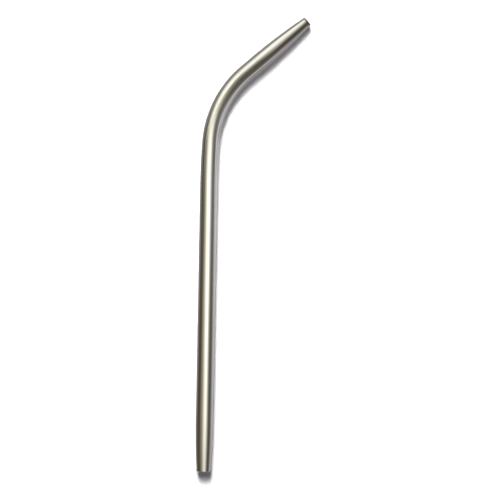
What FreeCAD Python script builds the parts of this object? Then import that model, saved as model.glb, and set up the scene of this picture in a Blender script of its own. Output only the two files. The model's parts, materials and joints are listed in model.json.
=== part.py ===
"""Saliva ejector tip: a bent steel suction tube with a tapered nozzle and a tapered tail.

Frame: the origin is the centre of the tail's end, where the tip enters its hose valve. The
straight run of the tube lies along +Y, the bend turns it towards +X, and the part lies on its
side, with +Z up and its axis in the plane z = 0. Millimetres and degrees.
"""

import FreeCAD, Part
import math
import os

from FreeCAD import Placement, Rotation, Vector

# Tube: quarter inch outside, drawn stainless steel.
TUBE_RADIUS = 6.35 / 2
TUBE_WALL = 0.71

# Centreline, from the tail's end to the nozzle's mouth.
STRAIGHT_RUN = 102.5
EASE_RADIUS = 292.0  # the bend starts gently, where the tube springs off the former
EASE_ANGLE = 2.9
BEND_RADIUS = 36.1
BEND_ANGLE = 45.8
NOSE_RUN = 28.7

# Nozzle: turned from bar, plugged into the tube and silver brazed.
NOZZLE_LENGTH = 23.2
NOZZLE_MOUTH_RADIUS = 1.8
NOZZLE_BORE_RADIUS = 1.2
NOZZLE_LAND = 4.0  # length of the mouth's straight bore
NOZZLE_RIM_OUTER = 0.45  # the two fillets make the mouth's lip almost a full round
NOZZLE_RIM_INNER = 0.12

# Tail ferrule: turned from bar, tapered so that it enters the valve's rubber bush.
FERRULE_LENGTH = 19.4
FERRULE_END_RADIUS = 2.6
FERRULE_EDGE_OUTER = 0.2
FERRULE_EDGE_INNER = 0.15

# Brazed spigot joints.
SPIGOT_LENGTH = 5.0
SPIGOT_BORE_RADIUS = 1.95
BRAZE_FILM = 0.04  # between the spigot and the tube's bore
BRAZE_SEAM = 0.1  # between the shoulder and the tube's end, dressed flush

BORE_RADIUS = TUBE_RADIUS - TUBE_WALL
SPIGOT_RADIUS = BORE_RADIUS - BRAZE_FILM
AXIS_X = Vector(1, 0, 0)
AXIS_Z = Vector(0, 0, 1)

# Each run of the centreline is (length, turning radius), and a straight run's radius is None.
RUNS = [
    (STRAIGHT_RUN, None),
    (math.radians(EASE_ANGLE) * EASE_RADIUS, EASE_RADIUS),
    (math.radians(BEND_ANGLE) * BEND_RADIUS, BEND_RADIUS),
    (NOSE_RUN, None),
]
TOTAL_LENGTH = sum(length for length, radius in RUNS)
NOZZLE_START = TOTAL_LENGTH - NOZZLE_LENGTH


def advance(point, heading, length, radius):
    """The point and heading after one run, where heading is in radians from +X towards +Y."""
    if radius is None:
        step = Vector(math.cos(heading), math.sin(heading), 0) * length
        return point + step, heading
    centre = turning_centre(point, heading, radius)
    turned = heading - length / radius
    return centre + Vector(-math.sin(turned), math.cos(turned), 0) * radius, turned


def turning_centre(point, heading, radius):
    """Centre of a run that turns clockwise, seen from above."""
    return point + Vector(math.sin(heading), -math.cos(heading), 0) * radius


def station(distance):
    """The centreline's point and heading at a distance from the tail's end."""
    point, heading = Vector(0, 0, 0), math.pi / 2
    for length, radius in RUNS:
        step = min(distance, length)
        point, heading = advance(point, heading, step, radius)
        distance -= step
    return point, heading


def place_along(shape, distance, flip=False):
    """Moves a shape made along +X to a station, pointing at the mouth, or at the tail if flipped."""
    point, heading = station(distance)
    angle = math.degrees(heading) + (180 if flip else 0)
    shape.Placement = Placement(point, Rotation(AXIS_Z, angle))
    return shape


def ring_face(point, heading, outer, inner):
    """A flat ring across the centreline."""
    normal = Vector(math.cos(heading), math.sin(heading), 0)
    rim = Part.Wire(Part.makeCircle(outer, point, normal))
    hole = Part.Wire(Part.makeCircle(inner, point, normal))
    return Part.Face(rim).cut(Part.Face(hole)).Faces[0]


def pipe_between(start, end, outer, inner):
    """A pipe along the centreline, from one distance to another, as cylinders and torus pieces."""
    pieces = []
    run_start = 0.0
    for length, radius in RUNS:
        low, high = max(start, run_start), min(end, run_start + length)
        run_start += length
        if high <= low:
            continue
        point, heading = station(low)
        face = ring_face(point, heading, outer, inner)
        if radius is None:
            direction = Vector(math.cos(heading), math.sin(heading), 0)
            pieces.append(face.extrude(direction * (high - low)))
        else:
            centre = turning_centre(point, heading, radius)
            angle = math.degrees((high - low) / radius)
            pieces.append(face.revolve(centre, -AXIS_Z, angle))
    return pieces[0].fuse(pieces[1:])


def turned(points_and_arcs):
    """A solid turned about +X from a closed outline of (point, point) lines and three-point arcs."""
    edges = []
    for item in points_and_arcs:
        if len(item) == 2:
            edges.append(Part.makeLine(*item))
        else:
            edges.append(Part.Arc(*item).toShape())
    outline = Part.Face(Part.Wire(edges))
    return outline.revolve(Vector(0, 0, 0), AXIS_X, 360)


def in_outline(along, radius):
    return Vector(along, radius, 0)


def tangent_arc(length, end_radius):
    """The arc that leaves the tube's outside tangentially and ends at a smaller radius."""
    drop = TUBE_RADIUS - end_radius
    arc_radius = (length**2 + drop**2) / (2 * drop)
    half = math.asin(length / arc_radius) / 2
    middle = in_outline(
        arc_radius * math.sin(half), TUBE_RADIUS - arc_radius * (1 - math.cos(half))
    )
    return in_outline(0, TUBE_RADIUS), middle, in_outline(length, end_radius)


def spigot_outline(first_inner, last_outer):
    """The outline's part behind the shoulder: bore, spigot end, spigot, shoulder."""
    back_inner = in_outline(-SPIGOT_LENGTH, SPIGOT_BORE_RADIUS)
    back_outer = in_outline(-SPIGOT_LENGTH, SPIGOT_RADIUS)
    corner = in_outline(0, SPIGOT_RADIUS)
    return [
        (first_inner, back_inner),
        (back_inner, back_outer),
        (back_outer, corner),
        (corner, last_outer),
    ]


def round_end(solid, along, radius, fillet):
    """Rounds the circular edge at a place along the axis, of a given radius."""
    edges = [
        edge
        for edge in solid.Edges
        if isinstance(edge.Curve, Part.Circle)
        and abs(edge.Curve.Center.x - along) < 1e-6
        and abs(edge.Curve.Radius - radius) < 1e-6
    ]
    return solid.makeFillet(fillet, edges)


def make_nozzle():
    """Tapered nozzle: an arc outside, and a bore that narrows to the land at the mouth."""
    outside = tangent_arc(NOZZLE_LENGTH, NOZZLE_MOUTH_RADIUS)
    mouth_inner = in_outline(NOZZLE_LENGTH, NOZZLE_BORE_RADIUS)
    land_end = in_outline(NOZZLE_LENGTH - NOZZLE_LAND, NOZZLE_BORE_RADIUS)
    taper_end = in_outline(0, SPIGOT_BORE_RADIUS)
    outline = [outside, (outside[-1], mouth_inner), (mouth_inner, land_end), (land_end, taper_end)]
    solid = turned(outline + spigot_outline(taper_end, outside[0]))
    solid = round_end(solid, NOZZLE_LENGTH, NOZZLE_MOUTH_RADIUS, NOZZLE_RIM_OUTER)
    solid = round_end(solid, NOZZLE_LENGTH, NOZZLE_BORE_RADIUS, NOZZLE_RIM_INNER)
    return place_along(solid, NOZZLE_START)


def make_tail_ferrule():
    """Tapered ferrule with a straight bore, pointing back to the tail's end."""
    outside = tangent_arc(FERRULE_LENGTH, FERRULE_END_RADIUS)
    end_inner = in_outline(FERRULE_LENGTH, SPIGOT_BORE_RADIUS)
    outline = [outside, (outside[-1], end_inner)]
    solid = turned(outline + spigot_outline(end_inner, outside[0]))
    solid = round_end(solid, FERRULE_LENGTH, FERRULE_END_RADIUS, FERRULE_EDGE_OUTER)
    solid = round_end(solid, FERRULE_LENGTH, SPIGOT_BORE_RADIUS, FERRULE_EDGE_INNER)
    return place_along(solid, FERRULE_LENGTH, flip=True)


def make_braze():
    """Silver braze: a film round the spigot and a thin washer that shows as the seam."""
    corners = [
        in_outline(0, SPIGOT_RADIUS),
        in_outline(0, TUBE_RADIUS),
        in_outline(-BRAZE_SEAM, TUBE_RADIUS),
        in_outline(-BRAZE_SEAM, BORE_RADIUS),
        in_outline(-SPIGOT_LENGTH, BORE_RADIUS),
        in_outline(-SPIGOT_LENGTH, SPIGOT_RADIUS),
    ]
    return turned(list(zip(corners, corners[1:] + corners[:1])))


def make_cannula_tube():
    start, end = FERRULE_LENGTH + BRAZE_SEAM, NOZZLE_START - BRAZE_SEAM
    return pipe_between(start, end, TUBE_RADIUS, BORE_RADIUS)


def main():
    nodes = {
        "cannula_tube": make_cannula_tube(),
        "nozzle": make_nozzle(),
        "tail_ferrule": make_tail_ferrule(),
        "nozzle_braze": place_along(make_braze(), NOZZLE_START),
        "tail_braze": place_along(make_braze(), FERRULE_LENGTH, flip=True),
    }
    os.makedirs("parts", exist_ok=True)
    for name, shape in nodes.items():
        shape.exportStep(f"parts/{name}.step")
        print(name, shape.isValid(), len(shape.Solids), round(shape.Volume, 2))
    mouth, heading = station(TOTAL_LENGTH)
    print("length along the centreline", round(TOTAL_LENGTH, 3))
    print("mouth", mouth, "heading", round(math.degrees(heading), 3))


main()
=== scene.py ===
"""Looks of the saliva ejector tip: drawn steel tube, turned ends and silver brazed seams.

Lengths are in metres, apart from the light cards' millimetres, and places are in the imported
part's frame: the origin is the centre of the tail's end, +Y runs along the straight run, the
nozzle bends to +X, and +Z is up.
"""

import json
import math
from collections import namedtuple

import bmesh
import bpy
from mathutils import Matrix, Vector


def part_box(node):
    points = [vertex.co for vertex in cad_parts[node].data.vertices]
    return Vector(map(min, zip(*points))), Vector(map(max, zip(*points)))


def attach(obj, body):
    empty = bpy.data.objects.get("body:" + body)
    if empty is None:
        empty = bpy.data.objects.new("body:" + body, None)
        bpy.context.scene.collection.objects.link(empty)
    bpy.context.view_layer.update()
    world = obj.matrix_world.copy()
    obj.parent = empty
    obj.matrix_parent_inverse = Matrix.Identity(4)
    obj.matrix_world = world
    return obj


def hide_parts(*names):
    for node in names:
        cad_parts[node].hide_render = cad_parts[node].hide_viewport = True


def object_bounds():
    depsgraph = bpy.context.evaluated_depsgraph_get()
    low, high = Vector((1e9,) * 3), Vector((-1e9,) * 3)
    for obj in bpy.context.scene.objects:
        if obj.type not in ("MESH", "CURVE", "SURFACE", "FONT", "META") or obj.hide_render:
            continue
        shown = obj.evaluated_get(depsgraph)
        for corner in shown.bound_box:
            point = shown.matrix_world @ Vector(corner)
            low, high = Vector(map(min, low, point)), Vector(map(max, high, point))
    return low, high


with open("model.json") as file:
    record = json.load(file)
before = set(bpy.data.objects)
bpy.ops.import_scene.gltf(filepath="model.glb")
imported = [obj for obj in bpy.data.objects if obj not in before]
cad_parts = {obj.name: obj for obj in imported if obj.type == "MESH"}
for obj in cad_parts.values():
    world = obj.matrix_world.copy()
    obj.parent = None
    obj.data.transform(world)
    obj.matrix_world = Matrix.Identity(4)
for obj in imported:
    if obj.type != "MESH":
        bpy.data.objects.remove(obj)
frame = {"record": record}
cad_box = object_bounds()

MM = 0.001
MOUNTS = {mount["name"]: mount for mount in frame["record"]["mounts"]}

# Tube, and the spigots inside it.
TUBE_RADIUS = MOUNTS["tail_pin"]["dims"]["r_mm"] * MM
TUBE_WALL = 0.71 * MM
BORE_RADIUS = TUBE_RADIUS - TUBE_WALL
BRAZE_FILM = 0.04 * MM
BRAZE_SEAM = 0.1 * MM
SPIGOT_LENGTH = 5.0 * MM
SPIGOT_RADIUS = BORE_RADIUS - BRAZE_FILM
SPIGOT_BORE = MOUNTS["tail_bore"]["dims"]["r_mm"] * MM
SEAM_BREAK = 0.02 * MM  # the edges that polishing leaves at the seams

# Turned ends: length, radius at the free end, and the two fillets of its lip.
FERRULE_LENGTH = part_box("cannula_tube")[0].y - BRAZE_SEAM
FERRULE_END_RADIUS = 2.6 * MM
FERRULE_LIP = (0.2 * MM, 0.15 * MM)
NOZZLE_LENGTH = 23.2 * MM
NOZZLE_MOUTH_RADIUS = 1.8 * MM
NOZZLE_BORE = MOUNTS["nose_bore"]["dims"]["r_mm"] * MM
NOZZLE_LAND = 4.0 * MM
NOZZLE_LIP = (0.45 * MM, 0.12 * MM)

# Centreline: (length, turning radius), and a straight run's radius is None.
NOSE_AXIS = Vector(MOUNTS["nose_bore"]["axis"])
WHOLE_TURN = math.pi / 2 - math.atan2(NOSE_AXIS.y, NOSE_AXIS.x)
STRAIGHT_RUN = 102.5 * MM
EASE_TURN = math.radians(2.9)  # the bend starts gently
EASE_RADIUS = 292.0 * MM
BEND_RADIUS = 36.1 * MM
NOSE_RUN = 28.7 * MM
RUNS = [
    (STRAIGHT_RUN, None),
    (EASE_TURN * EASE_RADIUS, EASE_RADIUS),
    ((WHOLE_TURN - EASE_TURN) * BEND_RADIUS, BEND_RADIUS),
    (NOSE_RUN, None),
]
TOTAL_LENGTH = sum(length for length, radius in RUNS)
NOZZLE_START = TOTAL_LENGTH - NOZZLE_LENGTH

# Mesh fineness.
SIDES = 144
RING_STEP = 0.8 * MM
LIP_STEPS = 10
SHARP_EDGE = math.radians(35)

# Share of darkening and roughness of a surface. Bores are metal that is not polished; on the
# nozzle's lip the darker colour is a painted dark reflection.
BRIGHT, LIP_PAINTED_DARK, DULL = 0.0, 0.9, 1.0


# ---------------------------------------------------------------- centreline

def station(distance):
    """The centreline's point and heading (radians from +X) at a distance from the tail's end."""
    point, heading = Vector((0, 0, 0)), math.pi / 2
    for length, radius in RUNS:
        step = min(distance, length)
        if radius is None:
            point = point + Vector((math.cos(heading), math.sin(heading), 0)) * step
        else:
            centre = point + Vector((math.sin(heading), -math.cos(heading), 0)) * radius
            heading -= step / radius
            point = centre + Vector((-math.sin(heading), math.cos(heading), 0)) * radius
        distance -= step
    return point, heading


# ---------------------------------------------------------------- meshes

def divided(outline):
    """The closed outline with its long lines cut into short ones."""
    points = []
    for (s0, r0, dull_and_painted_dark), (s1, r1, _) in zip(outline, outline[1:] + outline[:1]):
        steps = max(1, math.ceil(abs(s1 - s0) / RING_STEP))
        for i in range(steps):
            t = i / steps
            points.append((s0 + (s1 - s0) * t, r0 + (r1 - r0) * t, dull_and_painted_dark))
    return points


def outwards(mesh):
    """Turns every face of a closed mesh outwards."""
    work = bmesh.new()
    work.from_mesh(mesh)
    bmesh.ops.recalc_face_normals(work, faces=work.faces)
    work.to_mesh(mesh)
    work.free()


def swept(name, outline):
    """A closed mesh: an outline of (distance, radius, share of darkening and roughness), carried
    round the centreline. It keeps each point's place on the straightened part, (distance, across,
    up), for the materials' marks to follow, and that share, which on the nozzle's lip carries a
    painted dark reflection."""
    rings = divided(outline)
    places, straight, unpolished_and_painted_dark = [], [], []
    for distance, radius, dull_and_painted_dark in rings:
        point, heading = station(distance)
        across = Vector((-math.sin(heading), math.cos(heading), 0))
        unpolished_and_painted_dark += [dull_and_painted_dark] * SIDES
        for i in range(SIDES):
            angle = 2 * math.pi * i / SIDES
            side, up = radius * math.cos(angle), radius * math.sin(angle)
            places.append(point + across * side + Vector((0, 0, up)))
            straight.append((distance, side, up))
    faces = []
    for j in range(len(rings)):
        here, there = j * SIDES, (j + 1) % len(rings) * SIDES
        for i in range(SIDES):
            after = (i + 1) % SIDES
            faces.append((here + i, here + after, there + after, there + i))
    mesh = bpy.data.meshes.new(name)
    mesh.from_pydata(places, [], faces)
    outwards(mesh)
    attribute = mesh.attributes.new("straightened", "FLOAT_VECTOR", "POINT")
    attribute.data.foreach_set("vector", [x for place in straight for x in place])
    attribute = mesh.attributes.new("unpolished_and_painted_dark", "FLOAT", "POINT")
    attribute.data.foreach_set("value", unpolished_and_painted_dark)
    mesh.shade_smooth()
    mesh.set_sharp_from_angle(angle=SHARP_EDGE)
    piece = bpy.data.objects.new(name, mesh)
    bpy.context.scene.collection.objects.link(piece)
    return piece


def finished(points, unpolished_and_painted_dark):
    """Outline points with their share of darkening and roughness: 0 is bright metal, 1 is rough,
    darker metal that is not polished; the nozzle's lip gets a share that paints a dark reflection.
    """
    return [(distance, radius, unpolished_and_painted_dark) for distance, radius in points]


def arc(centre, radius, first, last):
    """Points of an arc in the outline's plane, from one angle to another, in radians."""
    steps = range(LIP_STEPS + 1)
    angles = [first + (last - first) * i / LIP_STEPS for i in steps]
    return [
        (centre[0] + radius * math.cos(a), centre[1] + radius * math.sin(a)) for a in angles
    ]


def tapered_outside(length, end_radius, outer):
    """The taper and the outer fillet of its lip. The taper is an arc that leaves the tube
    tangentially at the shoulder, and distances count from the shoulder."""
    drop = TUBE_RADIUS - end_radius
    taper_radius = (length**2 + drop**2) / (2 * drop)
    taper_centre = TUBE_RADIUS - taper_radius
    fillet_along = length - outer
    fillet_up = math.sqrt((taper_radius - outer) ** 2 - fillet_along**2)
    meets = math.atan2(fillet_up, fillet_along)
    last_along = taper_radius * math.cos(meets)
    steps = math.ceil(last_along / RING_STEP)
    points = [(0.0, TUBE_RADIUS - SEAM_BREAK)]
    for i in range(steps):
        along = SEAM_BREAK + (last_along - SEAM_BREAK) * i / steps
        points.append((along, taper_centre + math.sqrt(taper_radius**2 - along**2)))
    return points, arc((fillet_along, taper_centre + fillet_up), outer, meets, 0)


def inner_lip(length, bore, fillet):
    """The fillet from the free end's face into the bore."""
    return arc((length - fillet, bore + fillet), fillet, 0, -math.pi / 2)


def bore_and_spigot(start, bore):
    """From a place on the straight bore down to the spigot's end and back to the shoulder."""
    return [
        (start, bore),
        (0.0, SPIGOT_BORE),
        (-SPIGOT_LENGTH, SPIGOT_BORE),
        (-SPIGOT_LENGTH, SPIGOT_RADIUS),
        (0.0, SPIGOT_RADIUS),
    ]


def towards_mouth(outline):
    return [(NOZZLE_START + along, radius) for along, radius in outline]


def towards_tail(outline):
    return [(FERRULE_LENGTH - along, radius) for along, radius in outline]


def make_tube():
    start, end = FERRULE_LENGTH + BRAZE_SEAM, NOZZLE_START - BRAZE_SEAM
    outside = [
        (start, TUBE_RADIUS - SEAM_BREAK),
        (start + SEAM_BREAK, TUBE_RADIUS),
        (end - SEAM_BREAK, TUBE_RADIUS),
        (end, TUBE_RADIUS - SEAM_BREAK),
    ]
    inside = [(end, BORE_RADIUS), (start, BORE_RADIUS)]
    return swept("drawn_tube", finished(outside, BRIGHT) + finished(inside, DULL))


def make_nozzle():
    taper, lip = tapered_outside(NOZZLE_LENGTH, NOZZLE_MOUTH_RADIUS, NOZZLE_LIP[0])
    lip += inner_lip(NOZZLE_LENGTH, NOZZLE_BORE, NOZZLE_LIP[1])
    inside = bore_and_spigot(NOZZLE_LENGTH - NOZZLE_LAND, NOZZLE_BORE)
    outline = finished(towards_mouth(taper), BRIGHT)
    # The lip's share darkens its colour: a painted dark reflection round the rim.
    outline += finished(towards_mouth(lip), LIP_PAINTED_DARK)
    return swept("turned_nozzle", outline + finished(towards_mouth(inside), DULL))


def make_ferrule():
    taper, lip = tapered_outside(FERRULE_LENGTH, FERRULE_END_RADIUS, FERRULE_LIP[0])
    lip += inner_lip(FERRULE_LENGTH, SPIGOT_BORE, FERRULE_LIP[1])
    inside = bore_and_spigot(FERRULE_LENGTH / 2, SPIGOT_BORE)
    outline = finished(towards_tail(taper + lip), BRIGHT)
    return swept("turned_ferrule", outline + finished(towards_tail(inside), DULL))


def make_seam(name, placed):
    """Silver braze: a washer that shows as the seam, and a film round the spigot."""
    outside = [(0.0, TUBE_RADIUS - SEAM_BREAK), (-BRAZE_SEAM, TUBE_RADIUS - SEAM_BREAK)]
    inside = [
        (-BRAZE_SEAM, BORE_RADIUS),
        (-SPIGOT_LENGTH, BORE_RADIUS),
        (-SPIGOT_LENGTH, SPIGOT_RADIUS),
        (0.0, SPIGOT_RADIUS),
    ]
    return swept(name, finished(placed(outside), BRIGHT) + finished(placed(inside), DULL))


# ---------------------------------------------------------------- materials

NOISE_RANGE = (0.3, 0.7)  # nearly all of the noise lies between these

# Marks common to all metals. Scales are per metre along, across and up.
CLOUD_SCALE = (60, 220, 220)  # slow changes of tone and gloss
GRAIN_SCALE = (9000, 9000, 9000)
GRAIN_SHARE = 0.25  # of the marks' depth
MARKS_IN_GLOSS = 0.02  # how far the marks shift the roughness
BUMP_STRENGTH = 0.5

# Metal that is not polished, and the painted dark reflection on the nozzle's lip.
DULL_AND_PAINTED_DARK_TONE = 0.45  # times the metal's darker shade
DULL_ROUGHNESS = 0.42


class Nodes:
    """A short way to add shader nodes and links to one node tree."""

    def __init__(self, tree):
        self.tree = tree
        self.tree.nodes.clear()

    def add(self, kind, **inputs):
        """A new node with its inputs fed by name, where an underscore stands for a space."""
        node = self.tree.nodes.new(kind)
        for name, value in inputs.items():
            self.feed(node, name.replace("_", " "), value)
        return node

    def feed(self, node, name, value):
        """Links an output, or sets a plain value, to the input of a name or a number."""
        socket = node.inputs[int(name)] if name.isdigit() else node.inputs[name]
        if isinstance(value, bpy.types.NodeSocket):
            self.tree.links.new(value, socket)
        else:
            socket.default_value = value

    def math(self, operation, *values):
        node = self.tree.nodes.new("ShaderNodeMath")
        node.operation = operation
        for i, value in enumerate(values):
            self.feed(node, str(i), value)
        return node.outputs[0]

    def vector(self, operation, *values):
        node = self.tree.nodes.new("ShaderNodeVectorMath")
        node.operation = operation
        for i, value in enumerate(values):
            self.feed(node, str(i), value)
        return node.outputs["Value" if operation in ("DOT_PRODUCT", "LENGTH") else "Vector"]

    def scaled(self, vector, factor):
        node = self.tree.nodes.new("ShaderNodeVectorMath")
        node.operation = "SCALE"
        self.feed(node, "0", vector)
        self.feed(node, "Scale", factor)
        return node.outputs["Vector"]

    def attribute(self, name, output):
        node = self.tree.nodes.new("ShaderNodeAttribute")
        node.attribute_name = name
        return node.outputs[output]

    def noise(self, place, scale, detail):
        """Noise from 0 to 1 over a place, with its own scale along each axis, per metre."""
        stretched = self.vector("MULTIPLY", place, scale)
        node = self.add(
            "ShaderNodeTexNoise", Vector=stretched, Scale=1.0, Detail=detail, Roughness=0.6
        )
        return node.outputs["Fac"]

    def spread(self, noise, low, high):
        """Noise spread between two numbers, with its rare extremes cut off."""
        node = self.add(
            "ShaderNodeMapRange", Value=noise, From_Min=NOISE_RANGE[0], From_Max=NOISE_RANGE[1],
            To_Min=low, To_Max=high,
        )
        return node.outputs["Result"]

    def mixed(self, share, first, second):
        """Colour between two others. The node's colours are inputs 6 and 7 and output 2."""
        node = self.tree.nodes.new("ShaderNodeMix")
        node.data_type = "RGBA"
        self.tree.links.new(share, node.inputs[0])
        for socket, value in ((node.inputs[6], first), (node.inputs[7], second)):
            if isinstance(value, bpy.types.NodeSocket):
                self.tree.links.new(value, socket)
            else:
                socket.default_value = (*value, 1)
        return node.outputs[2]


def new_material(name):
    material = bpy.data.materials.new(name)
    material.use_nodes = True
    return material, Nodes(material.node_tree)


def metal(name, colour, shade, roughness, marks_scale, marks_depth):
    """Polished metal with fine marks. The colour drifts towards a darker shade, the roughness
    between two numbers, and the marks' scale is per metre along, across and up on the straightened
    part. Where the metal is not polished it is duller and darker, and on the nozzle's lip that
    darker colour is a painted dark reflection."""
    material, nodes = new_material(name)
    place = nodes.attribute("straightened", "Vector")
    # The share of darkening and roughness: bores that are not polished, and the painted dark
    # reflection on the nozzle's lip.
    dull_and_painted_dark = nodes.attribute("unpolished_and_painted_dark", "Fac")
    marks = nodes.noise(place, marks_scale, detail=3.0)
    clouds = nodes.noise(place, CLOUD_SCALE, detail=2.0)
    grain = nodes.noise(place, GRAIN_SCALE, detail=1.0)

    tone = nodes.mixed(nodes.spread(clouds, 0, 1), colour, shade)
    # Darker where not polished; on the nozzle's lip this darkening is a painted dark reflection.
    tone = nodes.mixed(dull_and_painted_dark, tone, tuple(c * DULL_AND_PAINTED_DARK_TONE for c in shade))
    gloss = nodes.math(
        "ADD",
        nodes.spread(clouds, *roughness),
        nodes.spread(marks, -MARKS_IN_GLOSS, MARKS_IN_GLOSS),
    )
    gloss = nodes.math("MAXIMUM", gloss, nodes.math("MULTIPLY", dull_and_painted_dark, DULL_ROUGHNESS))
    height = nodes.math("ADD", marks, nodes.math("MULTIPLY", grain, GRAIN_SHARE))
    bump = nodes.add(
        "ShaderNodeBump", Height=height, Strength=BUMP_STRENGTH, Distance=marks_depth
    )
    shader = nodes.add("ShaderNodeBsdfPrincipled", Metallic=1.0, Roughness=gloss)
    nodes.feed(shader, "Base Color", tone)
    nodes.feed(shader, "Normal", bump.outputs["Normal"])
    nodes.add("ShaderNodeOutputMaterial", Surface=shader.outputs["BSDF"])
    return material


def tube_steel():
    """Drawn and polished: hair-fine lines along the tube."""
    return metal(
        "tube_steel",
        colour=(0.61, 0.595, 0.565),
        shade=(0.57, 0.555, 0.525),
        roughness=(0.085, 0.115),
        marks_scale=(400, 14000, 14000),
        marks_depth=0.004 * MM,
    )


def turned_steel():
    """Turned and polished: hair-fine rings round the axis."""
    return metal(
        "turned_steel",
        colour=(0.61, 0.595, 0.565),
        shade=(0.575, 0.56, 0.53),
        roughness=(0.085, 0.115),
        marks_scale=(14000, 700, 700),
        marks_depth=0.004 * MM,
    )


def silver_braze():
    """Silver alloy, a little warmer and softer than the steel."""
    return metal(
        "silver_braze",
        colour=(0.66, 0.62, 0.54),
        shade=(0.6, 0.56, 0.48),
        roughness=(0.2, 0.26),
        marks_scale=(7000, 3000, 3000),
        marks_depth=0.003 * MM,
    )


# ---------------------------------------------------------------- studio

FLOOR_SIZE = 6.0
FLOOR_WHITE = 0.9
FLOOR_GLOW_STARTS, FLOOR_GLOW_FULL = 0.15, 0.6  # distances from the part's middle
PART_MIDDLE = (cad_box[0].y + cad_box[1].y) / 2
LAMP_DISTANCE = 1.2
FILL = (0.117, 0.108, 0.13)  # the world's light on the floor, which tints the shadow
ROOM_TONE = (0.105, 0.095, 0.07)  # what the metal sees between the patches

# Soft patches of light all round, far away. A patch's bearing, zenith angle, roll, half width
# and half height are in degrees, and a higher edge number is a sharper edge.
Patch = namedtuple("Patch", "azimuth zenith roll wide high edge colour")
PATCHES = [
    Patch(40, 130, -30, 26, 49, 1.1, (1.4, 1.45, 1.6)),  # pale floor beyond the bend's inner side
    Patch(-30, 105, -60, 20, 20, 4, (0.45, 0.45, 0.55)),  # cool floor on the tail's side of the nose
    Patch(125, 140, 15, 155, 55, 4, (0.27, 0.26, 0.26)),  # floor on the bend's outer side
    Patch(25, 35, -20, 85, 12, 4, (0.16, 0.18, 0.18)),  # grey ceiling
    Patch(140, 60, 65, 20, 35, 4, (0.35, 0.4, 0.35)),  # greenish wall behind the bend
    Patch(-90, 75, 0, 25, 20, 4, (0.55, 0.55, 0.5)),  # front window, which the tail's end faces
]

# Cards over the part that only the metal sees, in millimetres, and their turn in degrees. The
# softness is that of the left, right, near and far edges.
Card = namedtuple("Card", "height centre half turn softness colour")
CARDS = [
    # strip light: the bright line down the straight run
    Card(7, (0.4, 56), (2, 67), 0.6, (1, 1, 25, 5), (2.1, 2.15, 2.05)),
    # far window: the bright line from the bend to the mouth
    Card(250, (-150, 705), (100, 475), 9, (400, 8, 20, 20), (1.95, 1.95, 1.8)),
    # warm wall: the tan stripe left of the strip light's line
    Card(235, (-100, 150), (60, 210), 45, (160, 5, 15, 20), (0.75, 0.65, 0.45)),
    # cool reflector beside the bend: the lilac edge along the nose
    Card(6, (51, 98), (21, 47), 35, (2, 5, 10, 3), (0.74, 0.73, 0.82)),
    # low reflector: lifts the dark stripe towards the bend
    Card(9, (26, 92), (21, 25), 0, (3, 8, 25, 6), (0.14, 0.14, 0.15)),
]
EDGE_REACH = 6  # a card goes on for this many softnesses past its edge
NEARLY_NOTHING = 0.001  # keeps a division by zero out, straight behind a patch


def soft_patches(nodes, direction, patches):
    """The summed colour of soft bright patches, as a direction sees them."""
    total = None
    for patch in patches:
        turn = Matrix.Rotation(math.radians(patch.azimuth), 3, "Z")
        turn = turn @ Matrix.Rotation(math.radians(patch.zenith), 3, "Y")
        turn = turn @ Matrix.Rotation(math.radians(patch.roll), 3, "Z")
        facing = nodes.vector("DOT_PRODUCT", direction, tuple(turn.col[2]))
        spread = nodes.math("MAXIMUM", nodes.math("ADD", facing, 1.0), NEARLY_NOTHING)
        squares = []
        for axis, half in ((turn.col[0], patch.wide), (turn.col[1], patch.high)):
            along = nodes.vector("DOT_PRODUCT", direction, tuple(axis))
            share = nodes.math("DIVIDE", along, spread)
            share = nodes.math("DIVIDE", share, math.tan(math.radians(half) / 2))
            squares.append(nodes.math("MULTIPLY", share, share))
        away = nodes.math("POWER", nodes.math("ADD", *squares), patch.edge)
        glow = nodes.math("EXPONENT", nodes.math("MULTIPLY", away, -1.0))
        lit = nodes.scaled(patch.colour, glow)
        total = lit if total is None else nodes.vector("ADD", total, lit)
    return total


def flat_mesh(name, low, high, material):
    """A level rectangle between two opposite corners."""
    (x0, y0), (x1, y1) = low, high
    mesh = bpy.data.meshes.new(name)
    mesh.from_pydata([(x0, y0, 0), (x1, y0, 0), (x1, y1, 0), (x0, y1, 0)], [], [(0, 1, 2, 3)])
    mesh.materials.append(material)
    return mesh


def soft_edge(nodes, inside, softness):
    """From 0 well outside a card's edge to 1 well inside it."""
    share = nodes.math("TANH", nodes.math("DIVIDE", inside, 2 * softness * MM))
    return nodes.math("MULTIPLY_ADD", share, 0.5, 0.5)


def card_material(name, plan):
    """Light that fades away over the card's edges and lets what is behind it shine through."""
    material, nodes = new_material(name)
    place = nodes.add("ShaderNodeTexCoord").outputs["Object"]
    place = nodes.add("ShaderNodeSeparateXYZ", Vector=place)
    left, right, near, far = plan.softness
    wide, high = plan.half
    strength = 1.0
    for along, size, first, last in (("X", wide, left, right), ("Y", high, near, far)):
        from_low = nodes.math("ADD", place.outputs[along], size * MM)
        from_high = nodes.math("SUBTRACT", size * MM, place.outputs[along])
        strength = nodes.math("MULTIPLY", strength, soft_edge(nodes, from_low, first))
        strength = nodes.math("MULTIPLY", strength, soft_edge(nodes, from_high, last))
    glow = nodes.add("ShaderNodeEmission", Color=(*plan.colour, 1), Strength=strength)
    clear = nodes.add("ShaderNodeBsdfTransparent")
    both = nodes.add("ShaderNodeAddShader")
    nodes.feed(both, "0", glow.outputs["Emission"])
    nodes.feed(both, "1", clear.outputs["BSDF"])
    nodes.add("ShaderNodeOutputMaterial", Surface=both.outputs["Shader"])
    return material


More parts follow.
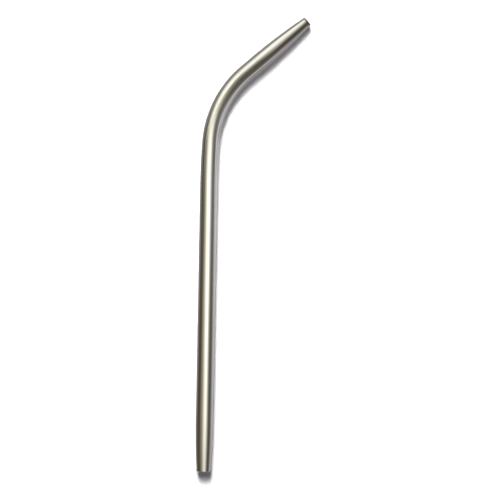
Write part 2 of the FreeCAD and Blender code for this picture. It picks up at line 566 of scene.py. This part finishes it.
def make_card(name, plan):
    """A sheet of light over the part, wide enough for its soft edges."""
    left, right, near, far = (value * EDGE_REACH for value in plan.softness)
    wide, high = plan.half
    low_corner = Vector((-wide - left, -high - near)) * MM
    high_corner = Vector((wide + right, high + far)) * MM
    mesh = flat_mesh(name, low_corner, high_corner, card_material(name, plan))
    card = bpy.data.objects.new(name, mesh)
    card.location = Vector((*plan.centre, plan.height)) * MM
    card.rotation_euler = (0, 0, math.radians(plan.turn))
    bpy.context.scene.collection.objects.link(card)
    for ray in ("camera", "diffuse", "transmission", "volume_scatter", "shadow"):
        setattr(card, "visible_" + ray, False)


def make_world():
    """Plain white for the camera, a faint tint for the floor, and the patches for the metal."""
    world = bpy.data.worlds.new("studio")
    world.use_nodes = True
    bpy.context.scene.world = world
    nodes = Nodes(world.node_tree)
    direction = nodes.add("ShaderNodeTexCoord").outputs["Generated"]
    path = nodes.add("ShaderNodeLightPath")
    seen = nodes.vector("ADD", soft_patches(nodes, direction, PATCHES), ROOM_TONE)
    tone = nodes.mixed(path.outputs["Is Glossy Ray"], FILL, seen)
    tone = nodes.mixed(path.outputs["Is Camera Ray"], tone, (1.0, 1.0, 1.0))
    glow = nodes.add("ShaderNodeBackground", Color=tone)
    nodes.add("ShaderNodeOutputWorld", Surface=glow.outputs["Background"])


def floor_material():
    """Matt white that the lamps light round the part, and that glows as white further out."""
    material, nodes = new_material("floor_white")
    place = nodes.add("ShaderNodeTexCoord").outputs["Object"]
    away = nodes.vector("LENGTH", place)
    ramp = nodes.add(
        "ShaderNodeMapRange", Value=away, From_Min=FLOOR_GLOW_STARTS, From_Max=FLOOR_GLOW_FULL
    )
    ramp.interpolation_type = "SMOOTHSTEP"
    matt = nodes.add("ShaderNodeBsdfDiffuse", Color=(FLOOR_WHITE, FLOOR_WHITE, FLOOR_WHITE, 1))
    glow = nodes.add("ShaderNodeEmission", Color=(1, 1, 1, 1), Strength=1.0)
    both = nodes.add("ShaderNodeMixShader")
    nodes.feed(both, "0", ramp.outputs["Result"])
    nodes.feed(both, "1", matt.outputs["BSDF"])
    nodes.feed(both, "2", glow.outputs["Emission"])
    nodes.add("ShaderNodeOutputMaterial", Surface=both.outputs["Shader"])
    return material


def make_floor():
    half = FLOOR_SIZE / 2
    mesh = flat_mesh("floor", (-half, -half), (half, half), floor_material())
    floor = bpy.data.objects.new("floor", mesh)
    floor.location = (0, PART_MIDDLE, cad_box[0].z)
    floor.visible_glossy = False
    bpy.context.scene.collection.objects.link(floor)


def make_lamp(name, azimuth, elevation, size, power):
    """A round softbox at a bearing and a height from the part, in degrees. It lights the floor
    and casts the shadow, and the metal sees the cards instead of it."""
    light = bpy.data.lights.new(name, "AREA")
    light.shape = "DISK"
    light.size = size
    light.energy = power
    lamp = bpy.data.objects.new(name, light)
    lamp.rotation_euler = (0, math.radians(90 - elevation), math.radians(azimuth))
    away = lamp.rotation_euler.to_matrix() @ Vector((0, 0, LAMP_DISTANCE))
    lamp.location = (cad_box[0] + cad_box[1]) / 2 + away
    bpy.context.scene.collection.objects.link(lamp)
    lamp.visible_glossy = False


def make_lamps():
    """Both stand behind the bend, so the shadow falls towards the tail."""
    make_lamp("key", azimuth=100, elevation=51, size=0.45, power=20)
    make_lamp("top", azimuth=100, elevation=65, size=0.5, power=6.5)


# ---------------------------------------------------------------- camera

CAMERA_HEIGHT = 1.2
CAMERA_AIM = (0.01505, 0.07938)  # the point under the camera, at the picture's centre
CAMERA_ROLL = math.radians(1.07)
PICTURE_WIDTH = 0.17857  # what the picture spans at the height of the tube's axis
SENSOR_WIDTH = 36.0  # in millimetres, like the lens


def make_camera():
    """Straight above the part, with the tail towards the picture's foot."""
    data = bpy.data.cameras.new("camera")
    data.sensor_width = SENSOR_WIDTH
    data.lens = SENSOR_WIDTH * CAMERA_HEIGHT / PICTURE_WIDTH
    data.clip_start, data.clip_end = 0.01, 20
    camera = bpy.data.objects.new("camera", data)
    camera.location = (*CAMERA_AIM, CAMERA_HEIGHT)
    camera.rotation_euler = (0, 0, CAMERA_ROLL)
    bpy.context.scene.collection.objects.link(camera)
    bpy.context.scene.camera = camera


# ---------------------------------------------------------------- assembly

def add_piece(piece, node, material):
    piece.data.materials.append(material)
    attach(piece, "root")
    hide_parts(node)


def main():
    tube, turned, braze = tube_steel(), turned_steel(), silver_braze()
    add_piece(make_tube(), "cannula_tube", tube)
    add_piece(make_nozzle(), "nozzle", turned)
    add_piece(make_ferrule(), "tail_ferrule", turned)
    add_piece(make_seam("nozzle_seam", towards_mouth), "nozzle_braze", braze)
    add_piece(make_seam("tail_seam", towards_tail), "tail_braze", braze)
    make_floor()
    make_lamps()
    make_world()
    for number, card in enumerate(CARDS, 1):
        make_card(f"card_{number}", card)
    make_camera()
    bpy.context.scene.view_settings.view_transform = "Standard"


main()
